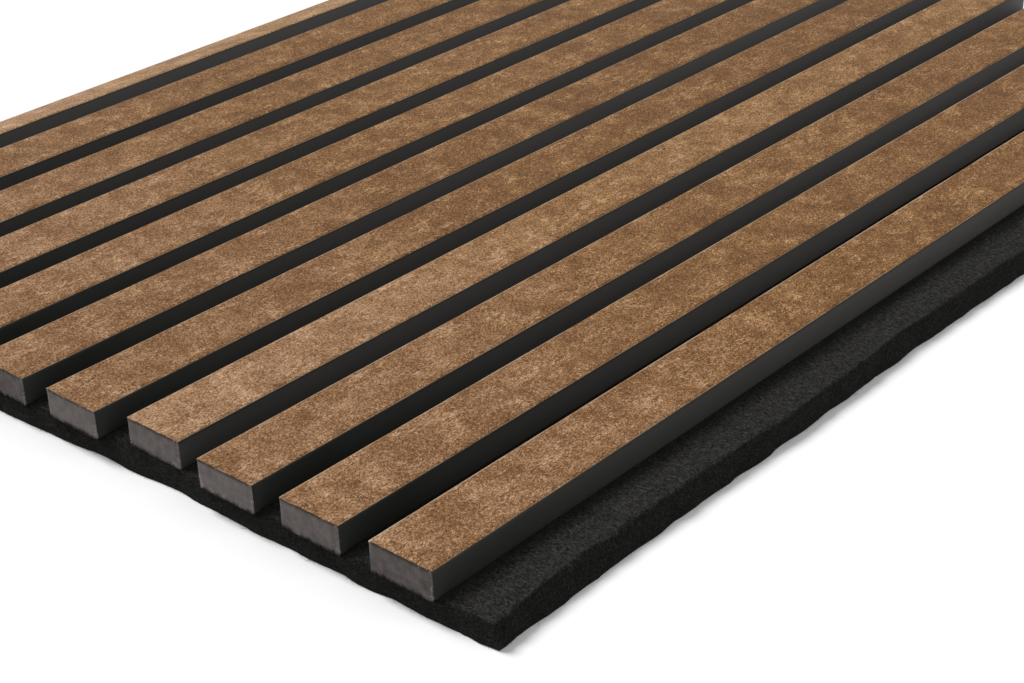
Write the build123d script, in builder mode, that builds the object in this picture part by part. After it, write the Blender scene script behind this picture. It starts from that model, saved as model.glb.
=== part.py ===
from build123d import *

import os
from math import cos, radians, sin

# A slatted acoustic wall panel, lying on its back as it rests on a table.
# Eleven fibreboard slats, each with a thin foil glued over its top, are stapled
# side by side to one felt backing. Sizes are in millimetres.
# +X runs across the slats, from the leaning first slat to the felt's free margin,
# +Y along them, from the sawn ends to the factory ends, and +Z up from the felt's back.
# The origin is at the middle of the panel's outline, on the back of the felt.

# Panel
slat_count = 11
slat_pitch = 40.0
panel_length = 600.0
felt_thickness = 9.0

# Slats: the foil turns down over the eased upper arrises by face_wrap_deg of their round
slat_width = 27.4
core_height = 11.7
upper_arris = 1.2
lower_arris = 0.5
face_thickness = 0.3
face_wrap_deg = 50.0

# The first slat has sunk into the felt along its outer side and leans outwards
first_slat_lean_deg = 14.0

# Sawn ends: the saw line runs out of square by end_skew at each slat, and each slat
# stands behind that line by its own waver. Side shifts are from even spacing.
end_skew = 0.88
end_waver = (0.0, 0.3, -0.1, 0.2, -0.1, 0.0, 0.3, 4.4, 0.4, 0.4, -0.2)
side_shift = (0.0, 0.1, 0.2, 0.1, 0.0, -0.3, -0.1, -0.6, 0.1, -0.1, 0.8)

# Felt outline: its front edge stands behind the saw line by these, evenly spaced across,
# and its free margin reaches past the last slat by these, evenly spaced along
front_waver = (1.6, 1.2, 1.6, 1.3, 1.7, 1.4, 1.5, 3.4, 4.1, 2.6, 2.7, 2.1, 2.7)
margin_at_back = (23.9, 22.9, 22.9, 22.3, 23.6, 23.2, 22.9, 23.4)
margin_at_top = (22.4, 20.1, 22.0, 20.4, 22.0, 21.6, 21.0, 21.6)

# Staples of flat wire, driven from the back with their crowns across the slats
staples_per_slat = 4
staple_end_distance = 60.0
staple_crown = 12.8
staple_leg = 14.0
staple_sink = 0.3
staple_point = 1.2
wire_width = 0.95
wire_thickness = 0.65

# Derived places
lean = radians(first_slat_lean_deg)
slat_base = felt_thickness
front_end = -panel_length / 2
far_end = panel_length / 2
lean_reach = (
    (slat_width - upper_arris) * cos(lean)
    + (core_height - upper_arris) * sin(lean)
    + upper_arris
)
last_shift = side_shift[(slat_count - 1) % len(side_shift)]
slat_span = (slat_count - 1) * slat_pitch + last_shift
panel_width = lean_reach + slat_span + max(margin_at_back)
first_side = lean_reach - panel_width / 2
last_side = first_side + slat_span
felt_left = first_side - slat_width * cos(lean)


def near_side(index):
    """The x of a slat's near side, the one towards the felt's free margin."""
    return first_side + index * slat_pitch + side_shift[index % len(side_shift)]


def saw_line(x):
    """The y of the out-of-square saw line at x."""
    return front_end + end_skew * (x - first_side) / slat_pitch


def sawn_end(index):
    """The y of a slat's sawn end."""
    return front_end + end_skew * index + end_waver[index % len(end_waver)]


def slat_plane(index):
    """The section plane at a slat's sawn end. Its origin is the slat's lower near arris,
    its x runs across to the far side, its y up and its normal along the slat."""
    turn = lean if index == 0 else 0.0
    return Plane(
        origin=(near_side(index), sawn_end(index), slat_base),
        x_dir=(-cos(turn), 0, -sin(turn)),
        z_dir=(0, 1, 0),
    )


def felt_outline(margins):
    """The felt's corner points, front edge points and free margin points in plan."""
    corner_x = last_side + margins[0]
    step = (corner_x - felt_left) / (len(front_waver) - 1)
    across = [felt_left + step * i for i in range(len(front_waver))]
    front = [(x, saw_line(x) + w) for x, w in zip(across, front_waver)]
    run = (far_end - front[-1][1]) / (len(margins) - 1)
    side = [(last_side + m, front[-1][1] + run * i) for i, m in enumerate(margins)]
    return front, side


def staple_places(index):
    """The plan points of a slat's staples, under the middle of its base."""
    turn = lean if index == 0 else 0.0
    middle = near_side(index) - slat_width * cos(turn) / 2
    run = (panel_length - 2 * staple_end_distance) / (staples_per_slat - 1)
    return [
        (middle, front_end + staple_end_distance + run * i)
        for i in range(staples_per_slat)
    ]


os.makedirs("parts", exist_ok=True)

# Staples: one section with chisel points, pushed out to the width of the wire
outside = staple_crown / 2
inside = outside - wire_thickness
with BuildPart() as staples:
    for index in range(slat_count):
        for x, y in staple_places(index):
            upright = Plane(origin=(x, y, staple_sink), x_dir=(1, 0, 0), z_dir=(0, -1, 0))
            with BuildSketch(upright) as staple_section:
                with BuildLine():
                    half_staple = Polyline(
                        (0, 0),
                        (outside, 0),
                        (outside, staple_leg),
                        (inside, staple_leg - staple_point),
                        (inside, wire_thickness),
                        (0, wire_thickness),
                    )
                    mirror(half_staple, about=Plane.YZ)
                make_face()
                bends = staple_section.vertices().sort_by(Axis.Y)[:2]
                fillet(bends, wire_thickness)
            extrude(amount=wire_width / 2, both=True)
staples.part.label = "staples"
export_step(staples.part, "parts/staples.step")

# Felt backing: its sides slope in from the back to the top, it gives way under the
# leaning slat, and the staples' crowns are pressed into its back
with BuildPart() as felt_backing:
    for height, margins in ((0.0, margin_at_back), (felt_thickness, margin_at_top)):
        with BuildSketch(Plane.XY.offset(height)):
            front, side = felt_outline(margins)
            with BuildLine():
                Spline(*front)
                Spline(*side)
                Polyline(side[-1], (felt_left, far_end), front[0])
            make_face()
    loft(ruled=True)
    with BuildSketch(slat_plane(0)):
        Rectangle(2 * slat_width, felt_thickness, align=(Align.MIN, Align.MIN))
    extrude(amount=panel_length, mode=Mode.SUBTRACT)
    with BuildSketch():
        for index in range(slat_count):
            with Locations(*staple_places(index)):
                Rectangle(staple_crown, wire_width)
    extrude(amount=staple_sink + wire_thickness, mode=Mode.SUBTRACT)
    add(staples.part, mode=Mode.SUBTRACT)
felt_backing.part.label = "felt_backing"
export_step(felt_backing.part, "parts/felt_backing.step")

# Slats: a fibreboard core with eased arrises, and the foil glued over its top
near_arris = (upper_arris, core_height - upper_arris)
far_arris = (slat_width - upper_arris, core_height - upper_arris)
face_round = upper_arris + face_thickness
for index in range(slat_count):
    number = f"{index + 1:02d}"
    slat_length = far_end - sawn_end(index)

    with BuildPart() as slat_core:
        with BuildSketch(slat_plane(index)) as core_section:
            Rectangle(slat_width, core_height, align=(Align.MIN, Align.MIN))
            corners = core_section.vertices()
            fillet(corners.group_by(Axis.Y)[-1], upper_arris)
            fillet(core_section.vertices().group_by(Axis.Y)[0], lower_arris)
        extrude(amount=slat_length)
        add(staples.part, mode=Mode.SUBTRACT)
    slat_core.part.label = f"slat_core_{number}"
    export_step(slat_core.part, f"parts/slat_core_{number}.step")

    with BuildPart() as slat_face:
        with BuildSketch(slat_plane(index)):
            with BuildLine():
                under_near = CenterArc(near_arris, upper_arris, 90 + face_wrap_deg, -face_wrap_deg)
                under_far = CenterArc(far_arris, upper_arris, 90, -face_wrap_deg)
                over_far = CenterArc(far_arris, face_round, 90 - face_wrap_deg, face_wrap_deg)
                over_near = CenterArc(near_arris, face_round, 90, face_wrap_deg)
                Line(under_near @ 1, under_far @ 0)
                Line(under_far @ 1, over_far @ 0)
                Line(over_far @ 1, over_near @ 0)
                Line(over_near @ 1, under_near @ 0)
            make_face()
        extrude(amount=slat_length)
    slat_face.part.label = f"slat_face_{number}"
    export_step(slat_face.part, f"parts/slat_face_{number}.step")
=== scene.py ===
import math

import bpy
import numpy as np
from mathutils import Matrix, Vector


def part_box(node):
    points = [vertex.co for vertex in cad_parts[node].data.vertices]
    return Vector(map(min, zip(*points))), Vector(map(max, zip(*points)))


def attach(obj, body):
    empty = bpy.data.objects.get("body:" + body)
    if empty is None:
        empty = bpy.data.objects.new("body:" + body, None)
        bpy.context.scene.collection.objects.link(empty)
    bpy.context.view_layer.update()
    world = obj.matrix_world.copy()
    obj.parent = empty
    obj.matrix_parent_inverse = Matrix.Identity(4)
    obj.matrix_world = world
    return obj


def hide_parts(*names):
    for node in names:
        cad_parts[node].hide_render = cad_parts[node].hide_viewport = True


# A slatted acoustic wall panel, lying on its back: a felt backing, staples driven through
# it, fibreboard slats with black sides, and a leather-look foil over each slat's top.
# Everything is in metres, +X across the slats, +Y along them and +Z up from the felt's back.
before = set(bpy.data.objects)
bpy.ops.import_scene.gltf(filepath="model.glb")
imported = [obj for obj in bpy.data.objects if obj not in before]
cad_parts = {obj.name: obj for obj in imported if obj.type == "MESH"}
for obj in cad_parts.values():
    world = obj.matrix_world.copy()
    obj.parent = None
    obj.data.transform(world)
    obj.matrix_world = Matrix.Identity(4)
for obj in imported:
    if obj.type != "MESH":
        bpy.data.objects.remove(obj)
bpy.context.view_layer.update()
mm = 0.001

# Felt backing
# One sheet of black needle-punched polyester felt, nine millimetres thick, cut with a knife
# that left its edges sloping, wavy and fuzzy. The slats press it flat where they sit, it swells
# a little in the grooves, and each staple pulls a dimple into its back.
slat_count = 11
slat_names = [f"{index + 1:02d}" for index in range(slat_count)]
slat_boxes = [
    [np.array(corner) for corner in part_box(f"slat_core_{number}")] for number in slat_names
]
far_sides, sawn_ends = np.array([low_corner[:2] for low_corner, _ in slat_boxes]).T
near_sides = np.array([high_corner[0] for _, high_corner in slat_boxes])
last_side = near_sides[-1]
lean = math.radians(14)
felt_thickness = slat_boxes[1][0][2]


def node_points(name):
    """A CAD node's points as one array."""
    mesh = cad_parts[name].data
    flat = np.empty(len(mesh.vertices) * 3, np.float32)
    mesh.vertices.foreach_get("co", flat)
    return flat.reshape(-1, 3).astype(float)


def box_skin(across, along, up):
    """The skin of a box lattice: every lattice point that lies on one of the box's six faces,
    and the quads between neighbours on each face, turned to face outwards."""
    shape = (len(across), len(along), len(up))
    places = np.indices(shape)
    on_skin = np.zeros(shape, bool)
    for axis, size in enumerate(shape):
        on_skin |= (places[axis] == 0) | (places[axis] == size - 1)
    number = np.full(shape, -1)
    number[on_skin] = np.arange(on_skin.sum())
    quads = []
    for axis in range(3):
        for end in (0, -1):
            face = np.take(number, end, axis)
            ring = [face[:-1, :-1], face[1:, :-1], face[1:, 1:], face[:-1, 1:]]
            outwards = (end == -1) != (axis == 1)
            quads.append(np.stack(ring if outwards else ring[::-1], -1).reshape(-1, 4))
    i, j, k = (p[on_skin] for p in places)
    return np.stack([across[i], along[j], up[k]], 1), np.concatenate(quads)


def rounded(points, low, high, radius):
    """Rounds a box's edges: each point is kept within the radius of the box shrunk by that
    radius, along the line from the nearest point of the shrunk box."""
    inner = np.clip(points, low + radius, high - radius)
    away = points - inner
    far = np.linalg.norm(away, axis=1, keepdims=True)
    return inner + away * radius / np.maximum(far, 1e-12)


def field(points, wavelength, seed, waves=28):
    """A smooth random field about zero with a spread of about one: the sum of many cosine
    waves of about one length, with random directions and phases."""
    rng = np.random.default_rng(seed)
    direction = rng.normal(size=(waves, 3))
    direction /= np.linalg.norm(direction, axis=1, keepdims=True)
    length = wavelength * rng.uniform(0.7, 1.4, (waves, 1))
    phase = rng.uniform(0, 2 * np.pi, waves)
    return np.cos(points @ (2 * np.pi * direction / length).T + phase).sum(1) * math.sqrt(2 / waves)


def soft_step(value, low, high):
    """Rises smoothly from 0 at low to 1 at high: t squared times three minus two t."""
    t = np.clip((value - low) / (high - low), 0, 1)
    return t * t * (3 - 2 * t)


def make_piece(name, points, quads, materials, material_of=None, uv=None):
    """Puts arrays into a new smooth-shaded mesh object at the origin, with its materials."""
    mesh = bpy.data.meshes.new(name)
    mesh.vertices.add(len(points))
    mesh.vertices.foreach_set("co", points.astype(np.float32).ravel())
    mesh.loops.add(quads.size)
    mesh.loops.foreach_set("vertex_index", quads.astype(np.int32).ravel())
    mesh.polygons.add(len(quads))
    mesh.polygons.foreach_set("loop_start", np.arange(0, quads.size, quads.shape[1], dtype=np.int32))
    mesh.polygons.foreach_set("use_smooth", np.ones(len(quads), bool))
    if uv is not None:
        layer = mesh.uv_layers.new(name="surface")
        layer.data.foreach_set("uv", uv[quads.ravel()].astype(np.float32).ravel())
    if material_of is not None:
        mesh.polygons.foreach_set("material_index", material_of.astype(np.int32))
    mesh.update(calc_edges=True)
    mesh.validate()
    for material in materials:
        mesh.materials.append(material)
    piece = bpy.data.objects.new(name, mesh)
    bpy.context.scene.collection.objects.link(piece)
    return piece


def give(piece, name, values):
    """Gives each of a piece's points a named value that its material reads."""
    layer = piece.data.attributes.new(name, "FLOAT", "POINT")
    layer.data.foreach_set("value", values.astype(np.float32))


def linear(colour):
    """Linear RGBA from an sRGB hex string, each channel by the sRGB curve."""
    srgb = np.array([int(colour[i : i + 2], 16) for i in (0, 2, 4)]) / 255
    rgb = np.where(srgb > 0.04045, ((srgb + 0.055) / 1.055) ** 2.4, srgb / 12.92)
    return (*rgb.tolist(), 1.0)


def put(tree, kind, inputs=None, **settings):
    """Adds a node: settings are its own properties, and inputs are values or linked outputs."""
    made = tree.nodes.new("ShaderNode" + kind)
    for name, value in settings.items():
        setattr(made, name, value)
    for name, value in (inputs or {}).items():
        if isinstance(value, bpy.types.NodeSocket):
            tree.links.new(value, made.inputs[name])
        else:
            made.inputs[name].default_value = value
    return made


def new_material(name):
    """An empty node material, and its tree."""
    material = bpy.data.materials.new(name)
    material.use_nodes = True
    material.node_tree.nodes.clear()
    return material, material.node_tree


# Needle-punched polyester felt: matt black, with a short tangle of paler fibres on its surface
# and no gloss. Where it was cut it is denser and darker, partly from denser fibre and partly as
# painted shade on those edges, and beside each slat it is painted darker, a painted shadow of the
# slat. A pattern's scale is its marks in one millimetre. The tangle's strands are 0.7 millimetres
# apart and its tufts 2.4, much coarser than real fibres of a fiftieth of a millimetre, so that
# they show.
felt_material, tree = new_material("needle_punched_felt")
place = put(tree, "TexCoord")
tangle = None
for turn, stretch in ((20, 0.55), (-40, 0.5), (85, 0.6)):
    strand = put(tree, "Mapping", {
        "Vector": place.outputs["Object"],
        "Rotation": (0.4, 0.3, math.radians(turn)),
        "Scale": (stretch, 1.0, 1.0),
    })
    strand = put(tree, "TexNoise", {
        "Vector": strand.outputs[0], "Scale": 1.45 / mm, "Detail": 2.0, "Distortion": 1.0,
    })
    if tangle is not None:
        strand = put(tree, "Math", {0: strand.outputs[0], 1: tangle.outputs[0]}, operation="MAXIMUM")
    tangle = strand
tufts = put(tree, "TexNoise", {
    "Vector": place.outputs["Object"], "Scale": 0.42 / mm, "Detail": 3.0, "Roughness": 0.6,
})
paleness = put(tree, "MapRange", {"Value": tangle.outputs[0], "From Min": 0.5, "From Max": 0.72})
tuft_share = put(tree, "MapRange", {
    "Value": tufts.outputs[0], "From Min": 0.3, "From Max": 0.66, "To Min": 0.45,
})
paleness = put(tree, "Math", {0: paleness.outputs[0], 1: tuft_share.outputs[0]}, operation="MULTIPLY")
# The cut attribute darkens the felt: partly denser cut fibre, partly painted shade on the cut edges, and
# a painted shadow at the foot of each slat
cut_and_shade_share = put(tree, "Attribute", attribute_name="cut")
away_from_cut_and_shade = put(tree, "MapRange", {"Value": cut_and_shade_share.outputs["Fac"], "To Min": 1.0, "To Max": 0.4})
paleness = put(tree, "Math", {0: paleness.outputs[0], 1: away_from_cut_and_shade.outputs[0]}, operation="MULTIPLY")
bare_colour = put(tree, "MixRGB", {
    "Fac": cut_and_shade_share.outputs["Fac"], "Color1": linear("141412"), "Color2": linear("0a0a08"),
})
felt_colour = put(tree, "MixRGB", {
    "Fac": paleness.outputs[0], "Color1": bare_colour.outputs[0], "Color2": linear("484743"),
})
felt_bump = put(tree, "Bump", {"Height": tangle.outputs[0], "Strength": 0.8, "Distance": 0.5 * mm})
surface = put(tree, "BsdfPrincipled", {
    "Base Color": felt_colour.outputs[0],
    "Roughness": 0.95,
    "Specular IOR Level": 0.08,
    "Normal": felt_bump.outputs[0],
})
put(tree, "OutputMaterial", {"Surface": surface.outputs[0]})

# The felt's outline comes from the CAD node: its front edge and free margin, at back and top
felt_points = node_points("felt_backing")
felt_low, felt_high = felt_points.min(0), felt_points.max(0)
far_end = felt_high[1]
front_zone = felt_low[1] + 20 * mm
margin_zone = last_side + 10 * mm
outlines = []
for height in (0.0, felt_thickness):
    level = felt_points[np.abs(felt_points[:, 2] - height) < 0.1 * mm]
    corner = level[np.argmax(level[:, 0] - level[:, 1])]
    front = level[(level[:, 1] < front_zone) & (level[:, 0] <= corner[0])]
    side = level[(level[:, 0] > margin_zone) & (level[:, 1] >= corner[1])]
    outlines.append((front[np.argsort(front[:, 0])], side[np.argsort(side[:, 1])], corner))
nominal_front = felt_low[1]
nominal_right = outlines[0][2][0]

# Lattice lines across: slat edges, staple crowns, grooves and the free margin
margin_pitch = 1.7 * mm
least_gap = 0.25 * mm
lines = [felt_low[0] + np.array([0.0, 0.8, 1.6]) * mm]
for low, high in slat_boxes:
    middle = (low[0] + high[0]) / 2
    edges = np.array([low[0] - 0.3 * mm, low[0] + 0.4 * mm, high[0] - 0.4 * mm, high[0] + 0.3 * mm])
    crown = middle + np.array([-9.0, -7.0, -6.2, -3.0, 0.0, 3.0, 6.2, 7.0, 9.0]) * mm
    groove = high[0] + np.array([2.4, 4.6, 6.4, 8.2, 10.2]) * mm
    lines += [edges, crown, groove]
lines.append(np.arange(last_side + 12 * mm, nominal_right - 2.6 * mm, margin_pitch))
lines.append(nominal_right - np.array([2.2, 1.6, 1.0, 0.4, 0.0]) * mm)
across = np.unique(np.round(np.concatenate(lines), 5))
across = across[(across >= felt_low[0]) & (across <= nominal_right)]
across = across[np.concatenate([[True], np.diff(across) > least_gap])]

# Lattice lines along: the front and far edges, and the rows of staples. Staples are in one
# row where no gap between them is over twenty millimetres
fill_pitch = 3.9 * mm
fill_clearance = 2.2 * mm
crown_rows = np.unique(np.round(node_points("staples")[:, 1] / mm / 4) * 4) * mm
row_starts = np.nonzero(np.diff(crown_rows) > 20 * mm)[0] + 1
crown_rows = np.array([rows.mean() for rows in np.split(crown_rows, row_starts)])
edge_steps = np.array([0.0, 0.35, 0.8, 1.3, 1.8, 2.3, 2.8, 3.4, 4.2, 5.2, 6.4, 8.0, 10.0, 12.5]) * mm
row_steps = np.array([-2.2, -1.1, -0.6, 0.0, 0.6, 1.1, 2.2]) * mm
lines = [nominal_front + edge_steps, far_end - edge_steps[:6]]
lines += [row + row_steps for row in crown_rows]
special = np.sort(np.concatenate(lines))
fill = np.arange(nominal_front + 15 * mm, far_end - 5 * mm, fill_pitch)
nearest = np.abs(fill[:, None] - special[None, :]).min(1)
along = np.sort(np.concatenate([special, fill[nearest > fill_clearance]]))
up = np.array([0.0, 0.1, 0.25, 0.4, 0.55, 0.68, 0.8, 0.91, 1.0]) * felt_thickness

# The lattice box gets its rounds, and then the outline: each point moves by its share of the
# thickness between the outline at the back and the one at the top
felt_top_round = 1.5 * mm
felt_back_round = 0.7 * mm
felt_front_round = 0.9 * mm
lattice, felt_quads = box_skin(across, along, up)
low = np.array([across[0], nominal_front, 0.0])
high = np.array([nominal_right, far_end, felt_thickness])
radius = np.where(lattice[:, 2:] > felt_thickness / 2, felt_top_round, felt_back_round)
at_front = lattice[:, 1:2] < nominal_front + 5 * mm
radius = np.where(at_front, np.minimum(radius, felt_front_round), radius)
shaped = rounded(lattice, low, high, radius)
share = shaped[:, 2] / felt_thickness
back_margin, top_margin = (
    np.interp(shaped[:, 1], side[:, 1], side[:, 0]) for _, side, _ in outlines
)
reach = back_margin + (top_margin - back_margin) * share
stretch = (shaped[:, 0] - last_side) / (nominal_right - last_side)
x = np.where(stretch > 0, last_side + stretch * (reach - last_side), shaped[:, 0])
back_front, top_front = (np.interp(x, front[:, 0], front[:, 1]) for front, _, _ in outlines)
edge = back_front + (top_front - back_front) * share
settled = nominal_front + 25 * mm
pull = np.clip((settled - shaped[:, 1]) / (settled - nominal_front), 0, None)
y = np.where(pull > 0, settled - pull * (settled - edge), shaped[:, 1])
where = np.stack([x, y, shaped[:, 2]], 1)

# Height of the felt's top: flat under the slats, sunk under the leaning one by the tangent of
# its lean, swollen in the grooves, and sprung up where it comes out under a sawn end
pressed = 0.05 * mm
groove_swell = 0.35 * mm
front_rise = 1.4 * mm
hinge = near_sides[0]
sunk = np.clip(hinge - x, 0, None) * math.tan(lean)
covered = np.zeros(len(x))
at_foot = np.zeros(len(x))
for low_corner, high_corner in slat_boxes:
    inside = np.minimum(x - low_corner[0], high_corner[0] - x)
    covered = np.maximum(covered, soft_step(inside, -3.0 * mm, 0.0))
    at_foot = np.maximum(at_foot, soft_step(inside, -5.0 * mm, -2.0 * mm))
nearest_slat = np.clip(np.searchsorted(far_sides, x + 3 * mm) - 1, 0, slat_count - 1)
before_end = sawn_ends[nearest_slat] - y
sprung = covered * soft_step(before_end, 0.0, 0.7 * mm)
covered *= 1 - soft_step(before_end, 0.0, 2 * mm)
top = felt_thickness - pressed - sunk + groove_swell * (1 - covered) + front_rise * sprung
ripple = 0.16 * field(where, 6.5 * mm, 3)
swell = 0.2 * field(np.stack([x, y, share], 1), 19 * mm, 4)
top += (ripple + swell) * (1 - covered) * mm
z = share * top

# Each staple crown pulls a dimple into the back
crown_half = 6.4 * mm
dimple_depth = 1.1 * mm
dimple_floor = 0.6 * mm
dimple_reach = 1.9 * mm
dimple = np.zeros(len(x))
for low_corner, high_corner in slat_boxes:
    middle = (low_corner[0] + high_corner[0]) / 2
    beside = np.clip(np.abs(x - middle) - crown_half, 0, None)
    for row in crown_rows:
        away = np.hypot(beside, y - row)
        dimple = np.maximum(dimple, 1 - soft_step(away, dimple_floor, dimple_reach))
z += dimple * dimple_depth * np.clip(1 - 4 * share, 0, 1)

# The cut edges bulge, waver and splay out a little where they rest, within two millimetres of
# the outline. Where the knife wandered at the front, as (place across, half width, inwards),
# in millimetres
edge_depth = 2 * mm
back_splay = 0.9 * mm
front_bumps = ((58, 8, -1.0), (82, 5, 0.6), (168, 5, -0.6), (183, 4, 0.7), (120, 4, -0.3), (220, 4, -0.5))
outward = (shaped - np.clip(shaped, low + edge_depth, high - edge_depth)) / edge_depth
upper = soft_step(share, 0.3, 1.0)
bulge = 0.3 * np.sin(np.pi * np.clip(share, 0, 1)) + 0.25 * field(where, 20 * mm, 5)
bulge += (0.08 + 0.2 * upper) * field(where, 6.5 * mm, 6) + 0.09 * field(where, 3.2 * mm, 7)
splay = back_splay * (1 - np.clip(share, 0, 1)) ** 1.5
wander = sum(
    push * mm * np.exp(-(((x - middle * mm) / (half_width * mm)) ** 2))
    for middle, half_width, push in front_bumps
)
y += np.clip(-outward[:, 1], 0, 1) * wander
x += outward[:, 0] * (bulge * mm + splay) * (outward[:, 0] > 0)
y += outward[:, 1] * (0.8 * bulge * mm + 0.6 * splay) * (outward[:, 1] < 0)
x = np.maximum(x, felt_low[0])
skin = np.stack([x, y, np.maximum(z, 0)], 1)
felt = make_piece("felt", skin, felt_quads, [felt_material])

# The cut edges are dark, partly from denser fibre and partly as painted shade, and the felt at
# the foot of each slat is painted dark, a painted shadow of the slat
cut_and_shade_amount = soft_step(np.abs(outward[:, :2]).max(1), 0.35, 0.9)
cut_and_shade_amount = np.maximum(cut_and_shade_amount, 0.8 * at_foot * (share > 0.5))
give(felt, "cut", cut_and_shade_amount)
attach(felt, "root")
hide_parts("felt_backing")

# Loose felt fibres
# Single fibres and tufts that stand off the felt where it was cut and where it is bare. They
# are rooted in its skin, most thickly at the sawn ends and cut edges and thinly in the grooves,
# and are drawn three to six times as thick as the real ones so that they show.
fibre_count = 9500
fibre_radius = 0.06 * mm
fibre_stations = 4
root_depth = 0.1 * mm
rng = np.random.default_rng(11)
corners = skin[felt_quads]
centre = corners.mean(1)
normal = np.cross(corners[:, 2] - corners[:, 0], corners[:, 3] - corners[:, 1])
area = np.linalg.norm(normal, axis=1) / 2
normal /= np.maximum(2 * area[:, None], 1e-12)
faces_up = normal[:, 2] > 0.5
bare_top = faces_up & (centre[:, 0] > last_side + 0.5 * mm)
in_groove = faces_up & ~bare_top & (covered[felt_quads].mean(1) < 0.3)
cut_edge = (np.abs(normal[:, 2]) < 0.8) & (centre[:, 2] > 0.3 * mm)
at_ends = (sprung[felt_quads].mean(1) > 0.2) & (normal[:, 2] > 0.3)
weight = area * (5.0 * cut_edge + 1.0 * bare_top + 0.25 * in_groove + 9.0 * at_ends)
chosen = rng.choice(len(area), fibre_count, p=weight / weight.sum())
mix = rng.dirichlet([1, 1, 1, 1], fibre_count)
root = (corners[chosen] * mix[:, :, None]).sum(1)
side_step = rng.normal(size=(fibre_count, 3))
side_step -= (side_step * normal[chosen]).sum(1, keepdims=True) * normal[chosen]
side_step /= np.linalg.norm(side_step, axis=1, keepdims=True)
length = rng.gamma(4.0, 0.4, (fibre_count, 1)) * mm * np.where(cut_edge[chosen], 0.6, 1.0)[:, None]
lift = rng.uniform(0.1, 0.6, (fibre_count, 1)) * length
curl = rng.normal(size=(fibre_count, 3)) * 0.35 * length
u = np.linspace(0, 1, fibre_stations)[None, :, None]
path = root[:, None] + side_step[:, None] * length[:, None] * u
path = path + normal[chosen][:, None] * (lift[:, None] * np.sin(np.pi * 0.75 * u) - root_depth)
path = path + curl[:, None] * u * u
path[..., 2] = np.maximum(path[..., 2], fibre_radius * 1.5)


def fibres_along(name, path, radius):
    """One piece of three-sided fibres. Each follows its row of points: a ring of three points
    stands round every station, square to the path, and shrinks towards the tip."""
    count, stations = path.shape[:2]
    heading = np.gradient(path, axis=1)
    heading /= np.maximum(np.linalg.norm(heading, axis=2, keepdims=True), 1e-12)
    sideways = np.cross(heading, np.array([0.31, 0.52, 0.79]))
    sideways /= np.maximum(np.linalg.norm(sideways, axis=2, keepdims=True), 1e-12)
    other = np.cross(heading, sideways)
    angle = np.arange(3) * 2 * np.pi / 3
    spoke = sideways[:, :, None] * np.cos(angle)[:, None] + other[:, :, None] * np.sin(angle)[:, None]
    taper = (1 - 0.7 * np.linspace(0, 1, stations))[None, :, None, None]
    ring = path[:, :, None] + spoke * radius * taper
    index = np.arange(count * stations * 3).reshape(count, stations, 3)
    turned = np.roll(index, -1, axis=2)
    quads = np.stack([index[:, :-1], turned[:, :-1], turned[:, 1:], index[:, 1:]], -1).reshape(-1, 4)
    piece = make_piece(name, ring.reshape(-1, 3), quads, [felt_material])
    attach(piece, "root")
    return piece


fibre_piece = fibres_along("felt_fibres", path, fibre_radius)

# The saw has dragged a fringe of fibres forward and up over the foot of each sawn end. A fibre
# runs from the felt's front face, under the slat's lower arris and up, along a quadratic curve
fringe_count = 6500
fringe_stations = 5
least_height = 0.2 * mm
slat = rng.integers(0, slat_count, fringe_count)
across_slat = rng.uniform(-0.02, 1.02, fringe_count)
root_x = far_sides[slat] + (near_sides - far_sides)[slat] * across_slat
face_y = np.interp(root_x, outlines[1][0][:, 0], outlines[1][0][:, 1])
tuft = 0.5 + 0.5 * field(np.stack([root_x, root_x * 0, root_x * 0], 1), 3.5 * mm, 12)
tip_rise = np.clip(rng.gamma(3.0, 0.33, fringe_count) * (0.7 + 0.5 * tuft), 0.1, 2.0) * mm
sag = np.clip(hinge - root_x, 0, None) * math.tan(lean)
foot = felt_thickness - sag
fringe = np.stack([
    np.stack([root_x, face_y + 0.4 * mm, foot - rng.uniform(0.4, 2.0, fringe_count) * mm], 1),
    np.stack([root_x, sawn_ends[slat] - rng.uniform(0.3, 0.7, fringe_count) * mm, foot - 0.5 * mm], 1),
    np.stack([
        root_x + rng.normal(0, 0.5, fringe_count) * mm,
        sawn_ends[slat] - rng.uniform(0.1, 0.5, fringe_count) * mm,
        foot + tip_rise,
    ], 1),
], 1)
fringe[..., 2] = np.maximum(fringe[..., 2], least_height)
u = np.linspace(0, 1, fringe_stations)[None, :, None]
path = fringe[:, :1] * (1 - u) ** 2 + fringe[:, 1:2] * 2 * u * (1 - u) + fringe[:, 2:] * u**2
fringe_piece = fibres_along("felt_fringe", path, fibre_radius)

# Staples
# Flat galvanised steel wire, driven from the back through the felt into each slat. Only the
# crowns show, sunk in the felt. The CAD node has the real shape and gets its finish here:
# bright grey metal with drawing lines a sixth of a millimetre apart, along the crown.
wire_material, tree = new_material("galvanised_wire")
place = put(tree, "TexCoord")
drawn = put(tree, "Mapping", {"Vector": place.outputs["Object"], "Scale": (0.1, 1.0, 1.0)})
drawn = put(tree, "TexNoise", {"Vector": drawn.outputs[0], "Scale": 6 / mm, "Detail": 2.0})
wire_colour = put(tree, "MixRGB", {
    "Fac": drawn.outputs[0], "Color1": linear("8d8c86"), "Color2": linear("b5b4ae"),
})
wire_rough = put(tree, "MapRange", {"Value": drawn.outputs[0], "To Min": 0.3, "To Max": 0.5})
surface = put(tree, "BsdfPrincipled", {
    "Base Color": wire_colour.outputs[0], "Metallic": 1.0, "Roughness": wire_rough.outputs[0],
})
put(tree, "OutputMaterial", {"Surface": surface.outputs[0]})
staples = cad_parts["staples"]
staples.data.materials.clear()
staples.data.materials.append(wire_material)

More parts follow.
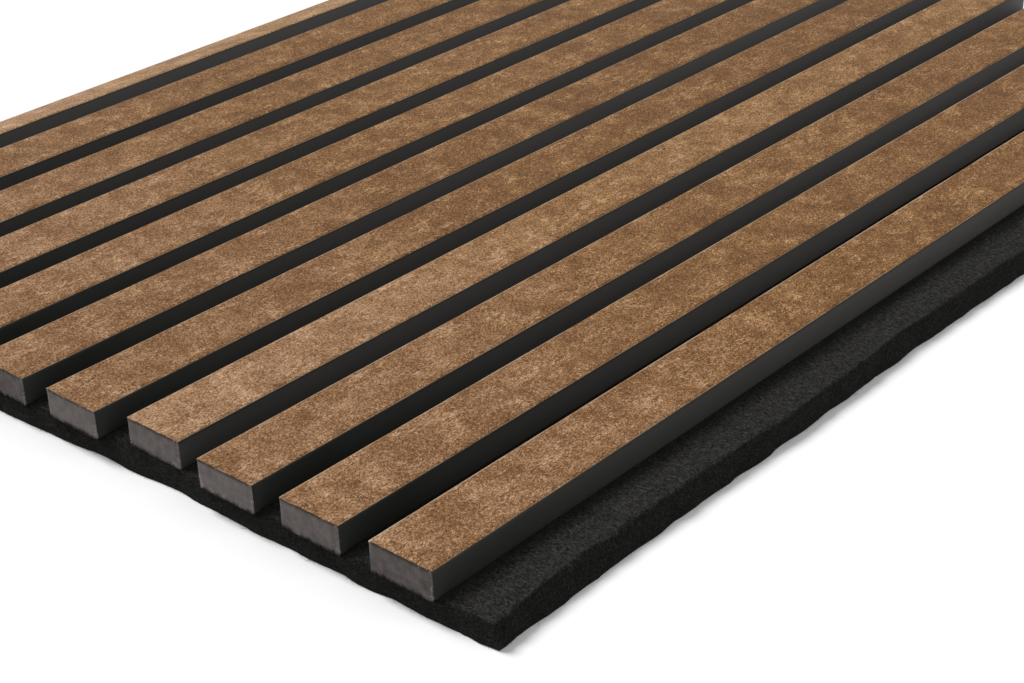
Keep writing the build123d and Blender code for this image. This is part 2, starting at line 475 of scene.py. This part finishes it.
# Slat cores
# Grey through-dyed fibreboard, ripped to width, its long sides and arrises lacquered satin
# black. The near ends are fresh saw cuts: bare board with faint saw lines, a few chips and
# pale dust caught on the corners.
core_upper_round = 1.2 * mm
core_lower_round = 0.5 * mm
slat_width = slat_boxes[1][1][0] - slat_boxes[1][0][0]
core_height = slat_boxes[1][1][2] - slat_boxes[1][0][2]

# Satin black lacquer: an even dark film with a soft sheen, clouded over 30 millimetres and
# faintly grained over half a millimetre, drawn coarser than real board grain. Each point's
# painted sheen and shade value says how far its colour goes from black towards grey: a painted
# sheen, paler along each slat and differing from slat to slat, and painted shade just under the foil
side_material, tree = new_material("satin_black_lacquer")
place = put(tree, "TexCoord")
# This attribute is painted sheen and painted shade, not the lacquer's own colour
painted_sheen_and_shade = put(tree, "Attribute", attribute_name="painted_sheen_and_shade")
side_colour = put(tree, "MixRGB", {
    "Fac": painted_sheen_and_shade.outputs["Fac"], "Color1": linear("262724"), "Color2": linear("706d6a"),
})
cloud = put(tree, "TexNoise", {"Vector": place.outputs["Object"], "Scale": 0.035 / mm, "Detail": 2.0})
side_rough = put(tree, "MapRange", {"Value": cloud.outputs[0], "To Min": 0.55, "To Max": 0.65})
grain = put(tree, "TexNoise", {"Vector": place.outputs["Object"], "Scale": 1.8 / mm, "Detail": 1.0})
side_bump = put(tree, "Bump", {"Height": grain.outputs[0], "Strength": 0.06, "Distance": 0.1 * mm})
surface = put(tree, "BsdfPrincipled", {
    "Base Color": side_colour.outputs[0],
    "Roughness": side_rough.outputs[0],
    "Specular IOR Level": 0.25,
    "Normal": side_bump.outputs[0],
})
put(tree, "OutputMaterial", {"Surface": surface.outputs[0]})

# Sawn fibreboard: matt grey fibre in blotches of four millimetres, with faint saw lines 0.8
# millimetres apart that lean from upright, and pale crumbs of half a millimetre where fibres
# are torn. Under the foil a thin line of dark glue shows
board_material, tree = new_material("sawn_fibreboard")
place = put(tree, "TexCoord")
blotch = put(tree, "TexNoise", {
    "Vector": place.outputs["Object"], "Scale": 0.26 / mm, "Detail": 4.0, "Roughness": 0.65,
})
saw = put(tree, "Mapping", {
    "Vector": place.outputs["Object"], "Rotation": (0, 0.5, 0), "Scale": (1.0, 1.0, 0.12),
})
saw = put(tree, "TexNoise", {"Vector": saw.outputs[0], "Scale": 1.3 / mm, "Detail": 1.5})
marks = put(tree, "MixRGB", {"Fac": 0.15, "Color1": blotch.outputs[0], "Color2": saw.outputs[0]})
marks = put(tree, "MapRange", {"Value": marks.outputs[0], "From Min": 0.3, "From Max": 0.7})
end_tone = put(tree, "Attribute", attribute_name="end_tone")
grey = put(tree, "Math", {0: end_tone.outputs["Fac"], 1: 0.75, 2: -0.22}, operation="MULTIPLY_ADD")
grey = put(tree, "Math", {0: marks.outputs[0], 1: 0.8, 2: grey.outputs[0]}, operation="MULTIPLY_ADD")
board_colour = put(tree, "MixRGB", {
    "Fac": grey.outputs[0], "Color1": linear("403b39"), "Color2": linear("67615f"),
})
glue = put(tree, "Attribute", attribute_name="glue")
board_colour = put(tree, "MixRGB", {
    "Fac": glue.outputs["Fac"], "Color1": board_colour.outputs[0], "Color2": linear("2a231e"),
})
wear = put(tree, "Attribute", attribute_name="wear")
crumbs = put(tree, "TexNoise", {"Vector": place.outputs["Object"], "Scale": 2.2 / mm, "Detail": 1.0})
crumbs = put(tree, "MapRange", {"Value": crumbs.outputs[0], "From Min": 0.42, "From Max": 0.6})
torn = put(tree, "Math", {0: wear.outputs["Fac"], 1: crumbs.outputs[0]}, operation="MULTIPLY")
board_colour = put(tree, "MixRGB", {
    "Fac": torn.outputs[0], "Color1": board_colour.outputs[0], "Color2": linear("b9b4ac"),
})
board_bump = put(tree, "Bump", {"Height": marks.outputs[0], "Strength": 0.5, "Distance": 0.12 * mm})
surface = put(tree, "BsdfPrincipled", {
    "Base Color": board_colour.outputs[0],
    "Roughness": 0.85,
    "Specular IOR Level": 0.2,
    "Normal": board_bump.outputs[0],
})
put(tree, "OutputMaterial", {"Surface": surface.outputs[0]})

# Chips at the sawn ends, as (slat, across from the near side, height, reach, depth, paleness),
# in millimetres. The slats are counted from the leaning one.
chips = (
    (10, 27.2, 11.5, 1.3, 0.7, 0.9),
    (10, 0.4, 1.7, 1.0, 0.4, 0.6),
    (8, 27.0, 4.0, 2.0, 0.3, 0.5),
    (8, 26.6, 2.0, 1.6, 0.5, 0.7),
    (8, 21.0, 1.6, 1.3, 0.4, 0.5),
    (8, 15.0, 1.6, 1.5, 0.4, 0.55),
    (8, 7.0, 1.6, 1.2, 0.4, 0.5),
    (9, 0.5, 1.8, 1.2, 0.4, 0.5),
    (7, 27.0, 2.4, 1.4, 0.4, 0.5),
    (7, 24.8, 1.6, 1.3, 0.4, 0.5),
    (7, 2.5, 1.6, 1.6, 0.4, 0.45),
    (5, 0.3, 11.2, 0.9, 0.4, 0.4),
    (6, 0.5, 1.8, 1.1, 0.5, 0.4),
    (6, 26.9, 2.0, 1.0, 0.4, 0.4),
)
end_lines = np.linspace(-slat_width, 0, 52)
edge_lines = np.array([0.12, 0.3, 0.55, 0.85]) * mm
end_lines = np.unique(np.concatenate([end_lines, -edge_lines, edge_lines - slat_width]))
rise_lines = np.linspace(0, core_height, 24)
rise_lines = np.unique(np.concatenate([rise_lines, core_height - np.array([0.18, 0.36]) * mm]))
near_cut = np.array([0.0, 0.12, 0.3, 0.6, 1.1, 2.0, 4.0, 10.0]) * mm
corner_ease = 0.9 * mm
end_depth = 1.2 * mm


def slat_frame(index):
    """A slat's lower near arris at its sawn end, its lean and its length. The leaning slat's
    arris lies beyond its box by the lower round's overhang."""
    low_corner, high_corner = slat_boxes[index]
    turn = lean if index == 0 else 0.0
    overhang = core_lower_round * (math.cos(turn) + math.sin(turn) - 1)
    origin = np.array([high_corner[0] + overhang, low_corner[1], felt_thickness])
    return origin, turn, high_corner[1] - low_corner[1]


def leaned(local, origin, turn):
    """Places points given as across, along and up from a slat's arris, turned about it."""
    return np.stack([
        origin[0] + local[:, 0] * math.cos(turn) - local[:, 2] * math.sin(turn),
        origin[1] + local[:, 1],
        origin[2] + local[:, 0] * math.sin(turn) + local[:, 2] * math.cos(turn),
    ], 1)


def eased(across):
    """How far a sawn end stands back near its two upright corners: a quarter circle's sagitta,
    the radius less the root of its square minus the square of the distance into the round."""
    inside = np.clip(np.minimum(-across, across + slat_width), 0, corner_ease)
    return corner_ease - np.sqrt(corner_ease**2 - (corner_ease - inside) ** 2)


# The lacquer's painted sheen by slat, as (at the sawn end, how much it gains along the slat), and the
# paleness of each sawn end
painted_sheens_by_slat = np.array([
    (-0.2, 1.0), (-0.2, 1.0), (-0.15, 1.0), (-0.2, 1.0), (-0.2, 1.0), (-0.24, 1.2),
    (-0.13, 0.88), (0.15, 0.5), (-0.26, 1.17), (-0.24, 1.17), (-0.2, 0.76),
])
end_tones = (0.4, 0.5, 0.6, 0.4, 0.5, 0.2, 0.85, 0.7, 0.85, 0.6, 0.25)
for index, number in enumerate(slat_names):
    origin, turn, length = slat_frame(index)
    middle_lines = np.linspace(10 * mm, length - 4 * mm, 14)[1:]
    along = np.concatenate([near_cut, middle_lines, length - near_cut[:6][::-1]])
    local, quads = box_skin(end_lines, along, rise_lines)
    section = local[:, [0, 2]]
    radius = np.where(section[:, 1:] > core_height / 2, core_upper_round, core_lower_round)
    section = rounded(section, np.array([-slat_width, 0.0]), np.array([0.0, core_height]), radius)
    cut = np.clip(1 - local[:, 1] / end_depth, 0, 1)
    start = local[:, 1].copy()

    # Chips, deepest at their middle and ragged at their rim
    worn = np.zeros(len(local))
    depth = np.zeros(len(local))
    for slat, from_near, high_up, spread, deep, pale in chips:
        if slat == index:
            away = np.hypot(section[:, 0] + from_near * mm, section[:, 1] - high_up * mm)
            dent = np.clip(1 - away / (spread * mm), 0, 1)
            ragged = np.clip(0.75 + 0.45 * field(local, 0.9 * mm, 40 + index), 0, 1.6)
            depth = np.maximum(depth, dent * ragged * deep * mm)
            worn = np.maximum(worn, np.sqrt(dent) * pale)

    # The whole end is a little rough, its rim frayed, and its near corner rubbed pale
    rim_across = np.minimum(-section[:, 0], section[:, 0] + slat_width)
    rim_up = np.minimum(section[:, 1], core_height - section[:, 1])
    near_rim = np.clip(1 - np.minimum(rim_across, rim_up) / (0.6 * mm), 0, 1)
    ragged_rim = np.clip(field(local, 1.3 * mm, 60 + index), 0, 2) * near_rim
    depth += (0.05 * ragged_rim + 0.02 * (1 + field(local, 0.8 * mm, 80 + index))) * mm
    depth += 0.6 * eased(section[:, 0])
    worn = np.maximum(worn, 0.35 * np.clip(ragged_rim - 0.8, 0, 1))
    near_corner = np.clip(1 - np.abs(section[:, 0] + 0.45 * mm) / (0.5 * mm), 0, 1)
    worn = np.maximum(worn, 0.45 * near_corner)
    glue_edge = section[:, 1] + 0.12 * mm * field(local, 1.6 * mm, 100 + index)
    glued = soft_step(glue_edge, core_height - 0.5 * mm, core_height - 0.25 * mm)

    local = np.stack([section[:, 0], local[:, 1] + depth * cut, section[:, 1]], 1)
    is_end = (start[quads] < 1e-9).all(1) | (start[quads] > length - 1e-9).all(1)
    core = make_piece(
        f"core_{number}", leaned(local, origin, turn), quads, [side_material, board_material], is_end,
    )
    give(core, "wear", worn * cut)
    give(core, "glue", glued)
    # The sides are painted darker just under the foil, a painted shade that takes the light off the
    # arris, and painted paler along each slat, a painted sheen
    arris = soft_step(local[:, 2], core_height - 1.5 * mm, core_height - 0.6 * mm)
    along_share = np.clip(local[:, 1] / length, 0, 1)
    give(core, "painted_sheen_and_shade", painted_sheens_by_slat[index, 0] - 0.4 * arris + painted_sheens_by_slat[index, 1] * np.sqrt(along_share))
    give(core, "end_tone", np.full(len(local), end_tones[index]))
    core.data.set_sharp_from_angle(angle=math.radians(40))
    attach(core, "root")
    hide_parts(f"slat_core_{number}")

# Slat faces
# A printed and embossed polyurethane foil with the look of worn brown leather, glued over
# each core's top and turned a little down over both arrises. Each strip was cut from another
# place of the sheet, so no two have the same marks.
foil_thickness = 0.3 * mm
foil_round = core_upper_round + foil_thickness
wrap = math.radians(50)

# Worn leather-look polyurethane: matt brown with a dull sheen, mottled about equally strongly
# at every size, from clouds 17 and 33 millimetres across down to a grain of one millimetre
foil_material, tree = new_material("worn_leather_foil")
sheet_place = put(tree, "UVMap", uv_map="surface")
# The tone attribute is each strip's own tone with a painted shade that darkens it along the slat
tone_and_shade = put(tree, "Attribute", attribute_name="tone_and_shade")
# The edge attribute paints the foil pale along the arrises: partly rubbing, partly a painted highlight
# where the arrises catch the light
edge_wear_and_highlight = put(tree, "Attribute", attribute_name="edge")
bent = put(tree, "TexNoise", {"Vector": sheet_place.outputs[0], "Scale": 0.4 / mm, "Detail": 2.0})
bend = put(tree, "MixRGB", {
    "Fac": 2 * mm, "Color1": sheet_place.outputs[0], "Color2": bent.outputs["Color"],
}, blend_type="ADD")
mottle = put(tree, "TexNoise", {
    "Vector": bend.outputs[0], "Scale": 0.06 / mm, "Detail": 6.0, "Roughness": 0.92,
})
cloud = put(tree, "TexNoise", {"Vector": sheet_place.outputs[0], "Scale": 0.03 / mm, "Detail": 2.0})
grain = put(tree, "TexNoise", {
    "Vector": bend.outputs[0], "Scale": 0.9 / mm, "Detail": 1.0, "Roughness": 1.0,
})
# The nap: short fine strokes that cross in three directions, the palest on top. They are a
# third of a millimetre apart, which is coarser than real nap, so that they show
nap = None
for turn, seed in ((25, 2.0), (-38, 5.0), (82, 9.0)):
    stroke = put(tree, "Mapping", {
        "Vector": bend.outputs[0], "Rotation": (0, 0, math.radians(turn)), "Scale": (1.0, 0.33, 1.0),
    })
    stroke = put(tree, "TexNoise", {
        "Vector": stroke.outputs[0], "W": seed, "Scale": 2.9 / mm, "Detail": 1.0,
    }, noise_dimensions="4D")
    if nap is not None:
        stroke = put(tree, "Math", {0: stroke.outputs[0], 1: nap.outputs[0]}, operation="MAXIMUM")
    nap = stroke
# Zones 13 millimetres across where the sheet is more worn, and the hairline creases that show
# there: long wandering lines 5 millimetres apart, in two oblique directions, pale where the
# sheet stretched
worn_zone = put(tree, "TexNoise", {
    "Vector": sheet_place.outputs[0], "Scale": 0.075 / mm, "Detail": 2.0, "W": 3.0,
}, noise_dimensions="4D")
worn_zone = put(tree, "MapRange", {"Value": worn_zone.outputs[0], "From Min": 0.42, "From Max": 0.62})
creases = None
for turn, seed in ((-50, 1.0), (28, 7.0)):
    flow = put(tree, "Mapping", {
        "Vector": bend.outputs[0], "Rotation": (0, 0, math.radians(turn)), "Scale": (1.0, 0.3, 1.0),
    })
    line = put(tree, "TexNoise", {
        "Vector": flow.outputs[0], "W": seed, "Scale": 0.19 / mm,
        "Detail": 3.0, "Roughness": 0.6, "Distortion": 0.5,
    }, noise_dimensions="4D")
    line = put(tree, "Math", {0: line.outputs[0], 1: 0.5}, operation="SUBTRACT")
    line = put(tree, "Math", {0: line.outputs[0]}, operation="ABSOLUTE")
    line = put(tree, "MapRange", {
        "Value": line.outputs[0], "From Max": 0.026, "To Min": 1.0, "To Max": 0.0,
    })
    if creases is not None:
        line = put(tree, "Math", {0: line.outputs[0], 1: creases.outputs[0]}, operation="MAXIMUM")
    creases = line
crease_share = put(tree, "Math", {0: creases.outputs[0], 1: worn_zone.outputs[0]}, operation="MULTIPLY")
# How pale each spot is: its strip's tone with the painted shade along the slat, and each marking by
# its gain, less what the markings add up to on average, and the creases on top
pale = tone_and_shade.outputs["Fac"]
for marking, gain in ((mottle, 1.5), (grain, 1.1), (nap, 3.5), (cloud, 0.25)):
    marked = put(tree, "Math", {0: marking.outputs[0], 1: gain, 2: pale}, operation="MULTIPLY_ADD")
    pale = marked.outputs[0]
centred = put(tree, "Math", {0: pale, 1: 2.98}, operation="SUBTRACT")
pale = put(tree, "Math", {
    0: crease_share.outputs[0], 1: 0.5, 2: centred.outputs[0],
}, operation="MULTIPLY_ADD")
low_share = put(tree, "MapRange", {"Value": pale.outputs[0], "From Min": 0.0, "From Max": 0.5})
high_share = put(tree, "MapRange", {"Value": pale.outputs[0], "From Min": 0.5, "From Max": 1.3})
foil_colour = put(tree, "MixRGB", {
    "Fac": low_share.outputs[0], "Color1": linear("4a2b10"), "Color2": linear("7b5632"),
})
foil_colour = put(tree, "MixRGB", {
    "Fac": high_share.outputs[0], "Color1": foil_colour.outputs[0], "Color2": linear("caa686"),
})
yellowed = put(tree, "Attribute", attribute_name="yellowed")
foil_colour = put(tree, "MixRGB", {
    "Fac": yellowed.outputs["Fac"], "Color1": foil_colour.outputs[0], "Color2": linear("fffeed"),
}, blend_type="MULTIPLY")
foil_colour = put(tree, "MixRGB", {
    "Fac": edge_wear_and_highlight.outputs["Fac"], "Color1": foil_colour.outputs[0], "Color2": linear("c4ad94"),
})
foil_bump = put(tree, "Bump", {"Height": mottle.outputs[0], "Strength": 0.3, "Distance": 0.2 * mm})
foil_rough = put(tree, "MapRange", {"Value": cloud.outputs[0], "To Min": 0.52, "To Max": 0.64})
surface = put(tree, "BsdfPrincipled", {
    "Base Color": foil_colour.outputs[0],
    "Roughness": foil_rough.outputs[0],
    "Specular IOR Level": 0.12,
    "Normal": foil_bump.outputs[0],
})
put(tree, "OutputMaterial", {"Surface": surface.outputs[0]})

# The foil's section, from the near arris over the top to the far one, then back underneath
near_turn = np.linspace(wrap, 0, 6)
far_turn = np.linspace(0, -wrap, 6)
flat_across = np.linspace(-core_upper_round, core_upper_round - slat_width, 12)[1:-1]
near_middle = -core_upper_round
far_middle = core_upper_round - slat_width
centre_up = core_height - core_upper_round
rows = []
for radius in (foil_round, core_upper_round):
    near = [near_middle + radius * np.sin(near_turn), centre_up + radius * np.cos(near_turn)]
    flat = [flat_across, np.full(len(flat_across), centre_up + radius)]
    far = [far_middle + radius * np.sin(far_turn), centre_up + radius * np.cos(far_turn)]
    rows.append(np.concatenate([np.stack(part, 1) for part in (near, flat, far)]))
ring = np.concatenate([rows[0], rows[1][::-1]])
count = len(ring)
half = count // 2

# Each strip's paleness, the leaning first strip's raised by a painted sheen for its lean, and how far
# apart their places on the sheet lie, across and along
strip_tones_and_sheen = np.array([0.25, 0.0, 0.0, 0.04, 0.02, -0.03, -0.03, 0.15, 0.02, 0.0, 0.01])
strip_across = 370 * mm
strip_along = 190 * mm
fray = 0.09 * mm
for index, number in enumerate(slat_names):
    origin, turn, length = slat_frame(index)
    middle_steps = np.linspace(2 * mm, length - 2 * mm, 60)
    steps = np.concatenate([near_cut[:5], middle_steps, length - near_cut[:5][::-1]])
    grid = np.concatenate([
        np.repeat(ring[None, :, :1], len(steps), 0),
        np.repeat(steps[:, None, None], count, 1),
        np.repeat(ring[None, :, 1:], len(steps), 0),
    ], 2)
    local = grid.reshape(-1, 3)
    index_grid = np.arange(len(steps) * count).reshape(len(steps), count)
    turned = np.roll(index_grid, -1, axis=1)
    walls = np.stack([index_grid[:-1], index_grid[1:], turned[1:], turned[:-1]], -1).reshape(-1, 4)
    upper, lower = index_grid[:, :half], index_grid[:, half:][:, ::-1]
    front_cap = np.stack([upper[0, :-1], upper[0, 1:], lower[0, 1:], lower[0, :-1]], -1)
    far_cap = np.stack([upper[-1, 1:], upper[-1, :-1], lower[-1, :-1], lower[-1, 1:]], -1)
    quads = np.concatenate([walls, front_cap, far_cap])

    # The sawn end frays a little, and follows the core's eased corners
    waver = 1 + field(local, 1.1 * mm, 120 + index)
    ragged = np.clip(1 - local[:, 1] / (0.8 * mm), 0, 1) * fray * waver
    local[:, 1] += ragged + 0.8 * eased(local[:, 0]) * np.clip(1 - local[:, 1] / end_depth, 0, 1)
    uv = np.stack([local[:, 0] + strip_across * index, local[:, 1] + strip_along * index], 1)
    face = make_piece(f"face_{number}", leaned(local, origin, turn), quads, [foil_material], None, uv)

    # The foil is pale in patches along both edges, most on the far one: partly rubbed, and partly a
    # painted highlight where the arrises catch the light
    drop = core_height + foil_thickness - local[:, 2]
    pale_patches = np.clip(0.75 + 0.4 * field(local, 9 * mm, 160 + index), 0, 1)
    far_edge = soft_step(drop, 0.0, 0.1 * mm)
    near_edge = 0.5 * soft_step(drop, 0.2 * mm, 0.5 * mm)
    give(face, "edge", pale_patches * np.where(local[:, 0] < -slat_width / 2, far_edge, near_edge))

    # It is paler by the sawn end, and darker and yellower further along: the darkening is painted
    # shade, for the light that falls off along the slats
    paler_by_end = 0.08 * (1 - soft_step(local[:, 1], 5 * mm, 30 * mm))
    darker = 0.12 * soft_step(local[:, 1], 100 * mm, 240 * mm)
    darker += 0.05 * soft_step(local[:, 1], 340 * mm, 430 * mm)
    give(face, "tone_and_shade", strip_tones_and_sheen[index] + paler_by_end - darker)
    give(face, "yellowed", soft_step(local[:, 1], 60 * mm, 260 * mm))
    face.data.set_sharp_from_angle(angle=math.radians(40))
    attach(face, "root")
    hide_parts(f"slat_face_{number}")

# Floor
# A plain white surface for the panel to lie on, far wider than the view.
floor_material, tree = new_material("white_floor")
surface = put(tree, "BsdfPrincipled", {
    "Base Color": linear("fbfbfb"), "Roughness": 0.9, "Specular IOR Level": 0.1,
})
put(tree, "OutputMaterial", {"Surface": surface.outputs[0]})
floor_half = 6.0
floor_corners = np.array([[-1, -1, 0], [1, -1, 0], [1, 1, 0], [-1, 1, 0]]) * floor_half
floor = make_piece("floor", floor_corners, np.array([[0, 1, 2, 3]]), [floor_material])

# Light
# A broad soft key lamp from the panel's left, a wider fill from the right for the slats' sides,
# and a weak lamp in front for the sawn ends. The surround is white to the eye and in reflections,
# and lights the rest with about an eighth of that.
surround_strength = 0.13
lamps = (
    # name, direction towards the lamp, strength, angle across in degrees
    ("key", (-0.55, -0.16, 0.82), 2.62, 24),
    ("fill", (0.72, 0.1, 0.68), 0.8, 50),
    ("front", (0.05, -0.75, 0.65), 0.37, 40),
)
for name, towards, strength, across_degrees in lamps:
    lamp = bpy.data.objects.new(name, bpy.data.lights.new(name, "SUN"))
    lamp.data.energy = strength
    lamp.data.angle = math.radians(across_degrees)
    turn = math.atan2(towards[1], towards[0]) + math.pi / 2
    lamp.rotation_euler = (math.acos(towards[2] / math.hypot(*towards)), 0, turn)
    bpy.context.scene.collection.objects.link(lamp)

world = bpy.data.worlds.new("surround")
bpy.context.scene.world = world
world.use_nodes = True
tree = world.node_tree
tree.nodes.clear()
rays = put(tree, "LightPath")
seen = put(tree, "Math", {
    0: rays.outputs["Is Camera Ray"], 1: rays.outputs["Is Glossy Ray"],
}, operation="MAXIMUM")
seen = put(tree, "Math", {
    0: seen.outputs[0], 1: rays.outputs["Is Transmission Ray"],
}, operation="MAXIMUM")
strength = put(tree, "MapRange", {
    "Value": seen.outputs[0], "To Min": surround_strength, "To Max": 1.0,
})
light = put(tree, "Background", {"Color": (1, 1, 1, 1), "Strength": strength.outputs[0]})
put(tree, "OutputWorld", {"Surface": light.outputs[0]})
bpy.context.scene.view_settings.view_transform = "Standard"

# Camera
# A 71 millimetre lens on a 36 millimetre frame, a little above the panel's near corner and
# rolled slightly, found by fitting the slats' edges.
camera = bpy.data.objects.new("camera", bpy.data.cameras.new("camera"))
camera.data.lens = 70.97
camera.data.sensor_width = 36.0
camera.data.clip_start = 0.02
camera_place = (0.5672, -0.65177, 0.37584)
azimuth, elevation, roll = math.radians(42.224), math.radians(28.345), math.radians(-2.103)
bpy.context.scene.collection.objects.link(camera)
bpy.context.scene.camera = camera
upright = Matrix.Rotation(azimuth, 4, "Z") @ Matrix.Rotation(math.pi / 2 - elevation, 4, "X")
camera.matrix_world = Matrix.Translation(camera_place) @ upright @ Matrix.Rotation(roll, 4, "Z")
